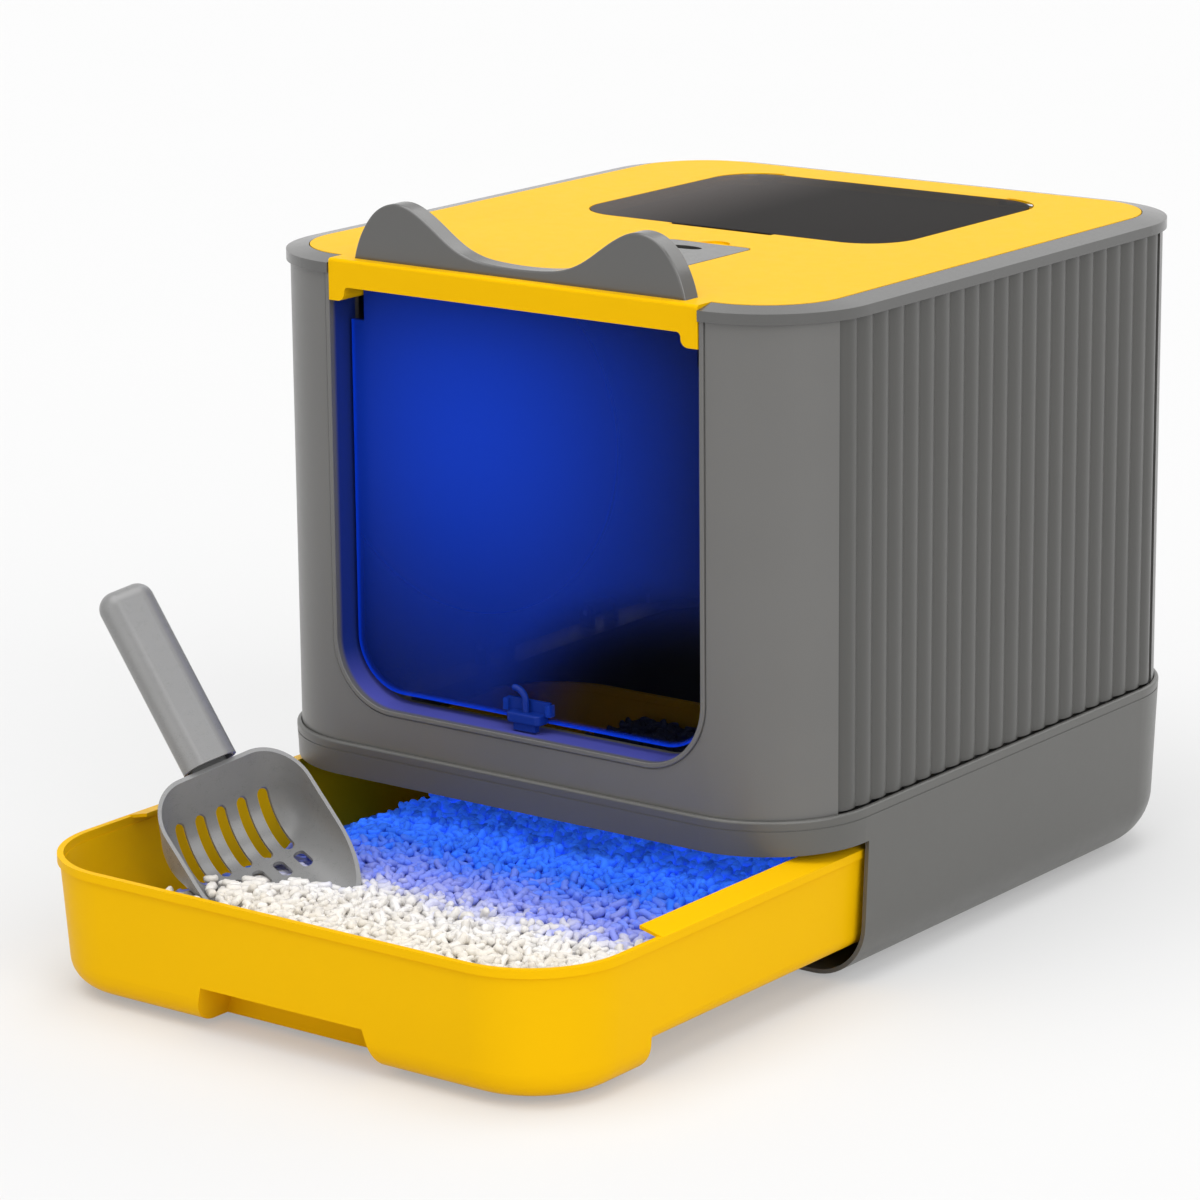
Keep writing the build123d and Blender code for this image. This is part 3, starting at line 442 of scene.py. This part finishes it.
def makePellet(bend):
    look = pelletLook
    bpy.ops.mesh.primitive_circle_add(
        vertices=look["sides"], radius=look["radius"] * look["tipShare"], fill_type="NGON",
        enter_editmode=True, rotation=(0, math.radians(90), 0))
    pellet = bpy.context.active_object
    pellet.name = "pelletPattern"
    bpy.ops.mesh.select_mode(type="FACE")
    bpy.ops.mesh.select_all(action="SELECT")
    reach = 0.0
    ends = (0, len(look["swells"]) - 1)
    for i, swell in enumerate(look["swells"]):
        stride = look["step"] * (look["endStep"] if i in ends else 1.0)
        reach += stride
        bpy.ops.mesh.extrude_region_move(TRANSFORM_OT_translate={"value": (stride, 0, 0)})
        bpy.ops.transform.resize(value=(1.0, swell, swell), center_override=(reach, 0, 0))
    bpy.ops.object.mode_set(mode="OBJECT")
    bpy.ops.object.transform_apply(location=True, rotation=True, scale=True)
    points = np.array([vertex.co for vertex in pellet.data.vertices])
    faces = [tuple(face.vertices) for face in pellet.data.polygons]
    bpy.ops.object.delete()
    turn = np.radians(bend) * (points[:, 0] / reach - 0.5)
    bent = points.copy()
    bent[:, 0] = (points[:, 0] - reach / 2) * np.cos(turn)
    bent[:, 1] += (points[:, 0] - reach / 2) * np.sin(turn)
    return bent, faces


def strewPellets(name, places, patterns, random):
    points, faces, tones = [], [], []
    for *place, along in places:
        shape, shapeFaces = patterns[random.integers(len(patterns))]
        free = math.isnan(along)
        tilt = math.radians(pelletLook["tilt" if free else "wallTilt"])
        yaw = random.uniform(0, 2 * math.pi) if free else along
        roll = random.uniform(0, 2 * math.pi) if free else math.pi * random.integers(2)
        turn = Euler((roll, random.normal(0, tilt), yaw))
        stretched = shape * random.uniform(*pelletLook["stretch"], (1, 3))
        moved = stretched @ np.array(turn.to_matrix()).T + np.array(place)
        start = len(tones)
        faces += [tuple(index + start for index in face) for face in shapeFaces]
        points.extend(moved)
        tones.extend([random.uniform()] * len(moved))
    mesh = bpy.data.meshes.new(name)
    mesh.from_pydata([tuple(point) for point in points], [], faces)
    mesh.attributes.new("pelletTone", "FLOAT", "POINT").data.foreach_set("value", tones)
    mesh.materials.append(finishes["litterPellets"])
    piece = bpy.data.objects.new(name, mesh)
    bpy.context.scene.collection.objects.link(piece)
    mesh.shade_smooth()
    return piece


def treeOf(node):
    mesh = nodes[node].data
    return BVHTree.FromPolygons([v.co for v in mesh.vertices], [tuple(f.vertices) for f in mesh.polygons])


def pelletPlace(spot, walls):
    wall = min((tree.find_nearest(spot) for tree in walls), key=lambda found: found[3])
    if wall[3] < pelletLook["clearance"]:
        return None
    along = math.atan2(wall[1].x, -wall[1].y) if wall[3] < pelletLook["wallReach"] else math.nan
    return (*spot, along)


def litterPlaces(random):
    bed, scoop, tray = treeOf("litter_bed"), treeOf("scoop_blade"), treeOf("drawer_tray")
    low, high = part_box("litter_bed")
    spacing = pelletLook["spacing"]
    down, above = Vector((0, 0, -1)), Vector((0, 0, pelletLook["castHeight"]))
    bedPlaces, bowlPlaces = [], []
    for x in np.arange(low[0], high[0], spacing):
        for y in np.arange(low[1], high[1], spacing):
            aside, ahead = random.uniform(-0.5, 0.5), random.uniform(-0.5, 0.5)
            spot = Vector((x + aside * spacing, y + ahead * spacing, high[2]))
            rise = pelletLook["lift"] + abs(random.normal(0, pelletLook["wander"]))
            ground = bed.ray_cast(spot + above, down)[0]
            floor = scoop.ray_cast(spot + above, down)[0]
            if ground is not None and (floor is None or floor.z < ground.z):
                bedPlaces.append(pelletPlace(Vector((spot.x, spot.y, ground.z + rise)), (tray, scoop)))
                continue
            level = high[2] + rise
            while floor is not None and level > floor.z + pelletLook["clearance"]:
                bowlPlaces.append(pelletPlace(Vector((spot.x, spot.y, level)), (scoop,)))
                level -= pelletLook["layer"]
    return [place for place in bedPlaces if place], [place for place in bowlPlaces if place]


random = np.random.default_rng(pelletLook["seed"])
patterns = [makePellet(bend) for bend in pelletLook["bends"]]
bedPlaces, bowlPlaces = litterPlaces(random)
bedPlaces.sort(key=lambda place: place[1])
for row, places in enumerate(np.array_split(np.array(bedPlaces), pelletLook["rows"])):
    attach(strewPellets(f"litterPellets{row + 1}", places, patterns, random), "drawer")
if bowlPlaces:
    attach(strewPellets("scoopedPellets", bowlPlaces, patterns, random), "scoop")
print("pellets strewn:", len(bedPlaces), "on the bed,", len(bowlPlaces), "in the scoop")


# Floor, light and camera

stageLook = {
    "floorHalf": 15.0, "floorColour": (0.71, 0.71, 0.71, 1.0), "skyColour": (0.93, 0.93, 0.93, 1.0),
    "skyStrength": 0.34, "shadowShare": 0.65,
    "paperScale": 3.0, "paperSpread": 0.005, "paperRoughness": 0.95, "paperShine": 0.1,
}
lampLooks = {
    "keySun": {"toward": (0.18, 0.90, -0.36), "strength": 0.55, "angle": 50.0},
    "sideSun": {"toward": (-0.85, 0.25, -0.45), "strength": 1.35, "angle": 50.0},
    "topSun": {"toward": (0.05, 0.20, -1.0), "strength": 2.00, "angle": 60.0},
    "backSun": {"toward": (-0.15, -0.65, -0.75), "strength": 0.90, "angle": 60.0},
}


def seenDirectly(paint):
    seen = paint.node("LightPath", output="Is Camera Ray")
    for name in ("Is Glossy Ray", "Is Transmission Ray"):
        seen = seen.combine("MAXIMUM", seen, paint.node("LightPath", output=name))
    return seen


def makeFloor():
    half = stageLook["floorHalf"]
    bpy.ops.mesh.primitive_plane_add(size=2 * half)
    floor = bpy.context.active_object
    floor.name = "studioFloor"
    paint = Paint("studioPaper")
    dark, pale = (tint(stageLook["floorColour"], 1 + side * stageLook["paperSpread"]) for side in (-1, 1))
    paint.finish({
        "Base Color": paint.mix(paint.noise(stageLook["paperScale"]), dark, pale),
        "Roughness": stageLook["paperRoughness"],
        "Specular IOR Level": stageLook["paperShine"],
    })
    paper = paint.node("Emission", None, {"Color": stageLook["skyColour"]})
    unshaded = seenDirectly(paint) * (1 - stageLook["shadowShare"])
    seenFloor = paint.node("MixShader", None, {
        0: unshaded, 1: Wire(paint, paint.shader.outputs[0]), 2: paper})
    paint.feed(paint.nodes["Material Output"].inputs["Surface"], seenFloor)
    floor.data.materials.append(paint.owner)


def makeSky():
    world = bpy.data.worlds.new("studioSky")
    bpy.context.scene.world = world
    paint = Paint("studioSky", world, "Background")
    paint.finish({
        "Color": stageLook["skyColour"],
        "Strength": stageLook["skyStrength"] + seenDirectly(paint) * (1.0 - stageLook["skyStrength"]),
    })


def makeLamps():
    for name, look in lampLooks.items():
        bpy.ops.object.light_add(type="SUN")
        lamp = bpy.context.active_object
        lamp.name = name
        lamp.data.energy = look["strength"]
        lamp.data.angle = math.radians(look["angle"])
        lamp.rotation_euler = Vector(look["toward"]).to_track_quat("-Z", "Y").to_euler()


cameraLook = {
    "place": (1.6161, -2.1690, 0.8853), "azimuth": 37.059, "elevation": 14.250, "roll": -0.539,
    "lens": 139.36, "sensor": 36.0, "shiftY": -0.0064, "clipEnd": 60.0,
}


def makeCamera():
    azimuth, elevation = math.radians(cameraLook["azimuth"]), math.radians(cameraLook["elevation"])
    level = math.cos(elevation)
    back = Vector((math.sin(azimuth) * level, -math.cos(azimuth) * level, math.sin(elevation)))
    right = Vector((math.cos(azimuth), math.sin(azimuth), 0.0))
    basis = Matrix((right, back.cross(right), back)).transposed()
    basis = basis @ Matrix.Rotation(math.radians(cameraLook["roll"]), 3, "Z")
    bpy.ops.object.camera_add(location=cameraLook["place"], rotation=basis.to_euler())
    camera = bpy.context.active_object
    camera.name = "photoCamera"
    camera.data.lens = cameraLook["lens"]
    camera.data.sensor_width = cameraLook["sensor"]
    camera.data.shift_y = cameraLook["shiftY"]
    camera.data.clip_end = cameraLook["clipEnd"]
    bpy.context.scene.camera = camera


makeFloor()
makeSky()
makeLamps()
makeCamera()
bpy.context.scene.view_settings.view_transform = "Standard"
print("stage set")
